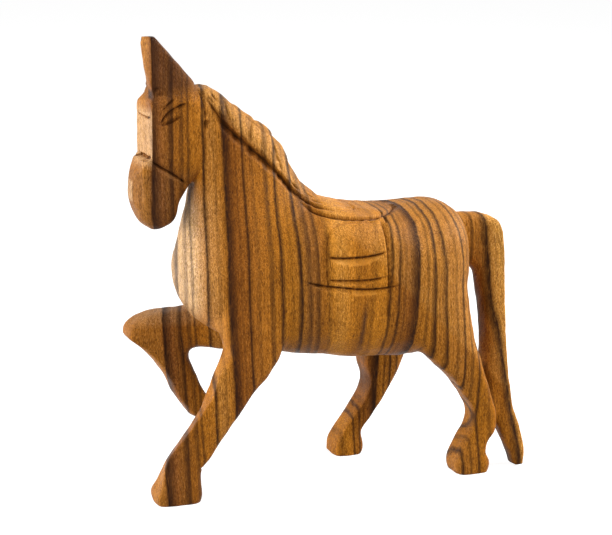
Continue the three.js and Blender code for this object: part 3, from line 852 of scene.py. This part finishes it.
darkness = 0.0
for start in range(0, len(growth_lines), lines_in_ramp):
    rows = []
    for middle, rise, fall, dark in growth_lines[start : start + lines_in_ramp]:
        for position, value in (
            (middle - rise, 0.0),
            (middle - line_core, dark),
            (middle + line_core, dark),
            (middle + fall, 0.0),
        ):
            if rows and position <= rows[-1][0]:
                position = rows[-1][0] + 0.02
            rows.append((position, (value, value, value)))
    darkness = calc("MAXIMUM", darkness, ramp_along(rows))

# The ground colour between the lines, from red-brown heartwood to light gold, by growth layer.
ground = ramp_along(
    [
        (-30, (0.27, 0.095, 0.012)),
        (-11, (0.31, 0.115, 0.015)),
        (-8, (0.20, 0.068, 0.012)),
        (-4, (0.20, 0.066, 0.012)),
        (-1, (0.25, 0.086, 0.012)),
        (2, (0.22, 0.072, 0.008)),
        (9, (0.26, 0.086, 0.007)),
        (15, (0.34, 0.117, 0.010)),
        (20, (0.39, 0.152, 0.022)),
        (26, (0.31, 0.108, 0.010)),
        (28, (0.19, 0.055, 0.006)),
        (38, (0.25, 0.082, 0.009)),
        (44, (0.30, 0.102, 0.010)),
        (56, (0.31, 0.108, 0.008)),
        (61, (0.25, 0.090, 0.010)),
        (66, (0.24, 0.087, 0.014)),
        (72, (0.26, 0.088, 0.008)),
        (76, (0.37, 0.135, 0.012)),
        (81, (0.43, 0.172, 0.022)),
        (87, (0.38, 0.134, 0.011)),
        (92, (0.31, 0.104, 0.008)),
        (100, (0.39, 0.138, 0.010)),
        (105, (0.26, 0.088, 0.008)),
        (115, (0.21, 0.066, 0.009)),
        (119, (0.30, 0.104, 0.009)),
        (138, (0.29, 0.104, 0.013)),
        (146, (0.26, 0.088, 0.006)),
        (158, (0.30, 0.100, 0.007)),
        (164, (0.24, 0.080, 0.007)),
        (172, (0.53, 0.242, 0.040)),
    ]
)

# Between the lines: fine streaks that follow the layers, broader bands, and flecks of the grain
apart = make("SeparateXYZ", {0: place})
along_x, along_y, rise = (apart.outputs[k] for k in range(3))
along_layers = {0: layer, 1: calc("MULTIPLY", along_y, 0.15), 2: calc("MULTIPLY", rise, 0.022)}
along_layers = make("CombineXYZ", along_layers).outputs[0]
streaks = noise(along_layers, 1.3, 4.0, 0.85)
bands = noise(along_layers, 0.22, 1.0)
flecks = noise(stretched(place, 1, 1, 0.14), 1.25, 2.0, 0.75)
ragged = noise(stretched(place, 1, 1, 0.09), 1.1, 2.0, 0.7)
fibres = noise(stretched(place, 1, 1, 0.24), 2.6, 2.0, 0.9)

heart_brown = (0.075, 0.026, 0.008, 1)
jaw_brown = (0.06, 0.03, 0.015, 1)
flame_brown = (0.06, 0.024, 0.010, 1)
# Pale sapwood, greyed to hold a painted sheen on the front faces.
sapwood_and_sheen = (0.52, 0.31, 0.13, 1)
# A lighter gold, painted on the up-facing crest and back as painted light from above.
top_light_gold = (0.48, 0.22, 0.045, 1)
line_black = (0.014, 0.005, 0.004, 1)
pore_black = (0.04, 0.014, 0.005, 1)
fibre_black = (0.035, 0.011, 0.006, 1)
# The near black of the painted shade at the foot of a cut.
cut_shadow_black = (0.03, 0.010, 0.003, 1)

# Places from here on are the part's own: along_x grows towards the tail, rise from the ground.
# The ears and the poll are darker heartwood, apart from their flat front.
front = calc("SUBTRACT", along_x, ranged(rise, 197.0, 203.0, -94.1, -93.2))
front = product(ranged(front, -0.2, 0.2, 1.0, 0.0), ranged(rise, 168.0, 173.0))
behind = calc("SUBTRACT", 1.0, front)
ear = calc("MULTIPLY_ADD", ranged(bands, 0.3, 0.6), 0.35, 0.6)
ear = product(ear, behind, ranged(rise, 201.0, 209.0))
ground = between(ear, ground, heart_brown)

# The face, the muzzle's front and the breast are paler sapwood, greyed to hold a painted sheen of the
# light from the left that these front faces catch, and the jaw's edge is dark.
face = product(front, ranged(rise, 195.0, 199.0, 0.55, 0.0))
muzzle = product(ranged(along_x, -102.3, -101.9, 0.5, 0.0), ranged(rise, 162.0, 166.0, 1.0, 0.0))
neck_front = calc("MULTIPLY_ADD", rise, -0.36, along_x)
breast = product(
    ranged(layer, 10.0, 17.0, 1.0, 0.2),
    ranged(layer, 17.0, 26.0, 1.0, 0.0),
    ranged(rise, 80.0, 100.0),
    ranged(rise, 146.0, 162.0, 0.9, 0.0),
    ranged(neck_front, -129.1, -128.2),
)
jaw = product(
    ranged(neck_front, -129.1, -128.2, 0.3, 0.0),
    ranged(rise, 164.0, 169.0, 1.0, 0.0),
    ranged(rise, 120.0, 130.0),
)
ground = between(jaw, ground, jaw_brown)
pale_and_sheen = calc("MAXIMUM", calc("MAXIMUM", face, muzzle), breast)
ground = between(pale_and_sheen, ground, sapwood_and_sheen)

# The crest and the back, which face up, get a lighter gold as painted light from above, and a dark
# flame stands below the saddle's flap.
painted_top_light = product(
    ranged(calc("ADD", rise, along_x), 133.0, 137.0),
    ranged(layer, 14.0, 20.0),
    ranged(layer, 62.0, 72.0, 0.65, 0.22),
)
ground = between(painted_top_light, ground, top_light_gold)
flame = calc("MULTIPLY_ADD", rise, -0.06, calc("SUBTRACT", layer, 88.2))
flame = product(
    ranged(calc("ABSOLUTE", flame), 0.2, 2.2, 1.0, 0.0),
    ranged(rise, 66.0, 76.0),
    ranged(rise, 90.0, 101.0, 0.9, 0.0),
)
ground = between(flame, ground, flame_brown)

# Short raised fibres get pale painted glints of light, and short sunk ones are dark, as the pores
# are.
light, deep = times(ground, (1.5, 1.55, 1.55, 1)), times(ground, (0.40, 0.33, 0.33, 1))
# A pale colour for painted glints on the fibres and painted light on the cuts' lower walls.
painted_highlight = times(ground, (1.9, 2.3, 4.0, 1))
tone = calc("MULTIPLY_ADD", ranged(bands, 0.3, 0.7), 0.18, ranged(streaks, 0.38, 0.6, 0.0, 0.46))
tone = calc("ADD", tone, ranged(flecks, 0.36, 0.62, 0.0, 0.4))
color = between(tone, deep, light)
color = between(ranged(fibres, 0.51, 0.68, 0.0, 0.8), color, painted_highlight)
strength = product(darkness, ranged(ragged, 0.3, 0.55, 0.55, 1.0), behind)
color = between(calc("POWER", strength, 0.65), color, line_black)
pores = ranged(noise(stretched(place, 1, 1, 0.16), 1.9, 1.0), 0.62, 0.74)
color = between(calc("MULTIPLY", pores, 0.5), color, pore_black)
color = between(ranged(fibres, 0.48, 0.29, 0.0, 0.8), color, fibre_black)

# A cut's walls get painted shade in brown, its foot nearly black painted shade, and a lens-shaped
# cut's lower wall is painted brighter: fresher wood, and painted light where it faces up.
shaded_walls = times(color, (0.46, 0.39, 0.34, 1))
color = between(ranged(carved, -0.7, -0.1, 0.35, 0.0), color, painted_highlight)
color = between(ranged(carved, 0.05, 0.8), color, shaded_walls)
color = between(ranged(carved, 0.75, 1.7, 0.0, 0.9), color, cut_shadow_black)
links.new(color, shader.inputs["Base Color"])
sheen = ranged(noise(place, 0.12, 2.0), 0.3, 0.7, 0.42, 0.55)
links.new(calc("MULTIPLY_ADD", pores, 0.2, sheen), shader.inputs["Roughness"])
height = calc("MULTIPLY_ADD", pores, -1.0, calc("ADD", calc("MULTIPLY", streaks, 0.5), fibres))
bump = make("Bump", {"Height": height, "Distance": 0.0002, "Strength": 0.8})
links.new(bump.outputs[0], shader.inputs["Normal"])
shader.inputs["Specular IOR Level"].default_value = 0.08
shader.inputs["Specular Tint"].default_value = (1.0, 0.65, 0.3, 1)

# The blocks
# The carved figure is seven blocks glued on flat faces: the body, the head with the neck, four
# legs and the tail. Each takes its own part of the carved surface, closed by its glued faces.


def direction(degrees):
    """A direction in the side view, as the angle that it makes with the way back."""
    return np.array([math.cos(math.radians(degrees)), 0.0, math.sin(math.radians(degrees))])


# Each glued face: a point on it, the way into the member, and the box of surface that it cuts.
glued_faces = {
    "head_and_neck": ((35, 0, 136.5), direction(109), (-30, 95, -40, 40, 100, 160)),
    "left_foreleg": ((24, -26, 66.55), direction(-90), (-5, 55, -40, 0, 60, 72)),
    "right_foreleg": ((18, 26, 76.2), direction(213), (-30, 45, 6, 40, 55, 110)),
    "left_hind_leg": ((147.5, -26, 59.8), direction(-90), (100, 161, -40, 0, 55, 65)),
    "right_hind_leg": ((124, 26, 58.5), direction(-90), (95, 150, 0, 40, 53, 64)),
    "tail": ((155, 0, 121.4), direction(0), (145, 165, -20, 20, 85, 145)),
    "tail_foot": ((158.5, -20, 52), direction(18), (140, 185, -40, 8, 10, 85)),
}


def past(points, face):
    """How far points lie past a glued face, into its member."""
    return (points - np.array(glued_faces[face][0], float)) @ glued_faces[face][1]


def note_values(mesh, name, values):
    """Puts a value at each of a mesh's points, under the name that the wood reads it by."""
    mesh.attributes.new(name, "FLOAT", "POINT")
    mesh.attributes[name].data.foreach_set("value", values.astype(np.float32))


def members_of(points):
    """Which points belong to each block, as one mask under each block's name."""
    x, y, z = points.T
    tail_foot = (past(points, "tail_foot") > 0) & (z <= 85) & (y < 8) & (x > 140)
    tail = ((past(points, "tail") > 0) & (z > 85)) | tail_foot
    masks = {"tail": tail}
    masks["head_and_neck"] = (past(points, "head_and_neck") > 0) & ~tail
    masks["left_foreleg"] = (past(points, "left_foreleg") > 0) & (y < 0) & (x < 60)
    masks["right_foreleg"] = (past(points, "right_foreleg") > 0) & (y > 6) & (x < 45) & (z < 112)
    masks["left_hind_leg"] = (past(points, "left_hind_leg") > 0) & (y < 0) & (x > 85) & ~tail
    masks["right_hind_leg"] = (past(points, "right_hind_leg") > 0) & (y > 0) & (x > 85) & ~tail
    masks["right_foreleg"] &= ~masks["head_and_neck"]
    masks["body"] = ~np.any(list(masks.values()), axis=0)
    return masks


# The cuts' painted shade and highlight go to the wood as the carved attribute.
note_values(carving, "carved", cut_shade_and_highlight)
whole = bmesh.new()
whole.from_mesh(carving)
bpy.data.meshes.remove(carving)
for point, inward, (x0, x1, y0, y1, z0, z1) in glued_faces.values():
    low = (np.array([x0, y0, z0]) + breast_shift) * MM
    high = (np.array([x1, y1, z1]) + breast_shift) * MM
    geometry = set()
    for face in whole.faces:
        if all(a < c < b for a, c, b in zip(low, face.verts[0].co, high)):
            geometry.add(face)
            geometry.update(face.edges)
            geometry.update(face.verts)
    seat = (np.array(point, float) + breast_shift) * MM
    bmesh.ops.bisect_plane(
        whole, geom=list(geometry), dist=1e-7, plane_co=tuple(seat), plane_no=tuple(inward)
    )
whole.faces.ensure_lookup_table()
middles = np.array([face.calc_center_median() for face in whole.faces]) / MM - breast_shift
for name, mask in members_of(middles).items():
    block = whole.copy()
    block.faces.ensure_lookup_table()
    others = [block.faces[number] for number in np.flatnonzero(~mask)]
    bmesh.ops.delete(block, geom=others, context="FACES")
    skin_faces = set(block.faces)
    rim = [edge for edge in block.edges if edge.is_boundary]
    bmesh.ops.holes_fill(block, edges=rim, sides=0)
    for face in block.faces:
        face.smooth = face in skin_faces
    for edge in rim:
        edge.smooth = False
    mesh = bpy.data.meshes.new("carved_" + name)
    block.to_mesh(mesh)
    block.free()
    note_values(mesh, "layer", layer_at(points_of(mesh)))
    mesh.materials.append(wood)
    piece = bpy.data.objects.new("carved_" + name, mesh)
    bpy.context.scene.collection.objects.link(piece)
    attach(piece, "root")
    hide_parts(name)
whole.free()

# Dowels
# Seven turned beech dowels are glued into bores across the joints. None shows from outside. Their
# pale wood has fine grain along it and short dark rays.

beech = bpy.data.materials.new("turned_beech")
beech.use_nodes = True
nodes, links = beech.node_tree.nodes, beech.node_tree.links
shader = nodes["Principled BSDF"]
place = place_in_mm()
grain = noise(stretched(place, 1, 1, 0.1), 1.5, 3.0, 0.6)
rays = ranged(noise(stretched(place, 1, 1, 0.3), 1.2, 1.0), 0.6, 0.7, 0.0, 0.4)
plain = between(ranged(grain, 0.35, 0.65), (0.52, 0.33, 0.17, 1), (0.66, 0.46, 0.26, 1))
links.new(between(rays, plain, (0.34, 0.18, 0.08, 1)), shader.inputs["Base Color"])
links.new(ranged(grain, 0.3, 0.7, 0.5, 0.65), shader.inputs["Roughness"])
dowel_bump = make("Bump", {"Height": grain, "Distance": 0.0001})
links.new(dowel_bump.outputs[0], shader.inputs["Normal"])
for name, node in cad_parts.items():
    if name.endswith("_dowel"):
        node.data.materials.clear()
        node.data.materials.append(beech)

# Floor, light and camera
# A white studio sweep, lit softly by five square lamps that are named by their side of the
# picture, mostly from the right and the back left. The camera is on the horse's left, a little in
# front of it and above it.


def seen_ray():
    """1 for rays from the camera, and for mirror and glass rays, which must see the same white."""
    path = make("LightPath")
    total = calc("MAXIMUM", path.outputs["Is Camera Ray"], path.outputs["Is Glossy Ray"])
    return calc("MAXIMUM", total, path.outputs["Is Transmission Ray"])


reach = 3.0
floor_gray, floor_glow = 0.36, 0.87
sky_light, sky_seen = 0.26, 1.0
lamp_size = 0.5
lamps_aim = Vector((0, 0, 0.11))
floor_corners = [(-reach, -reach, 0), (reach, -reach, 0), (reach, reach, 0), (-reach, reach, 0)]
floor_mesh = bpy.data.meshes.new("floor")
floor_mesh.from_pydata(floor_corners, [], [(0, 1, 2, 3)])
floor = bpy.data.objects.new("floor", floor_mesh)
bpy.context.scene.collection.objects.link(floor)
floor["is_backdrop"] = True
white = bpy.data.materials.new("white_paper")
white.use_nodes = True
nodes, links = white.node_tree.nodes, white.node_tree.links
paper = nodes["Principled BSDF"]
paper.inputs["Base Color"].default_value = (floor_gray, floor_gray, floor_gray, 1)
paper.inputs["Roughness"].default_value = 0.9
paper.inputs["Specular IOR Level"].default_value = 0.0
glow = nodes.new("ShaderNodeEmission")
links.new(calc("MULTIPLY", seen_ray(), floor_glow), glow.inputs["Strength"])
both = nodes.new("ShaderNodeAddShader")
links.new(paper.outputs[0], both.inputs[0])
links.new(glow.outputs[0], both.inputs[1])
links.new(both.outputs[0], nodes["Material Output"].inputs["Surface"])
floor_mesh.materials.append(white)

world = bpy.data.worlds.new("studio")
bpy.context.scene.world = world
world.use_nodes = True
nodes, links = world.node_tree.nodes, world.node_tree.links
sky = nodes["Background"]
sky.inputs["Color"].default_value = (1.0, 1.0, 1.0, 1)
links.new(ranged(seen_ray(), 0.0, 1.0, sky_light, sky_seen), sky.inputs["Strength"])


def area_light(name, spot, watts):
    """A square soft lamp that stands at the spot and is aimed at the middle of the horse."""
    data = bpy.data.lights.new(name, "AREA")
    data.size = lamp_size
    data.energy = watts
    lamp = bpy.data.objects.new(name, data)
    bpy.context.scene.collection.objects.link(lamp)
    lamp.location = spot
    lamp.rotation_euler = (lamps_aim - Vector(spot)).to_track_quat("-Z", "Y").to_euler()


area_light("front_left", (-0.94, -0.7, 0.35), 8.5)
area_light("front_right", (0.76, -0.76, 0.65), 6.5)
area_light("right", (1.07, 0.0, 0.65), 23)
area_light("back_left", (-1.04, 0.58, 0.23), 15)
area_light("above", (-0.3, -0.2, 1.2), 4.5)

camera_data = bpy.data.cameras.new("camera")
camera_data.sensor_width = 36
camera_data.lens = 125.64
camera_data.clip_end = 20
camera = bpy.data.objects.new("camera", camera_data)
bpy.context.scene.collection.objects.link(camera)
azimuth, elevation, distance = math.radians(-20), math.radians(13), 1.1
looked_at = Vector((-0.00945, -0.00021, 0.1098))
level = math.cos(elevation)
back = Vector((math.sin(azimuth) * level, -math.cos(azimuth) * level, math.sin(elevation)))
camera.location = looked_at + back * distance
camera.rotation_euler = back.to_track_quat("Z", "Y").to_euler()
bpy.context.scene.camera = camera
bpy.context.scene.view_settings.view_transform = "Standard"

low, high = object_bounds()
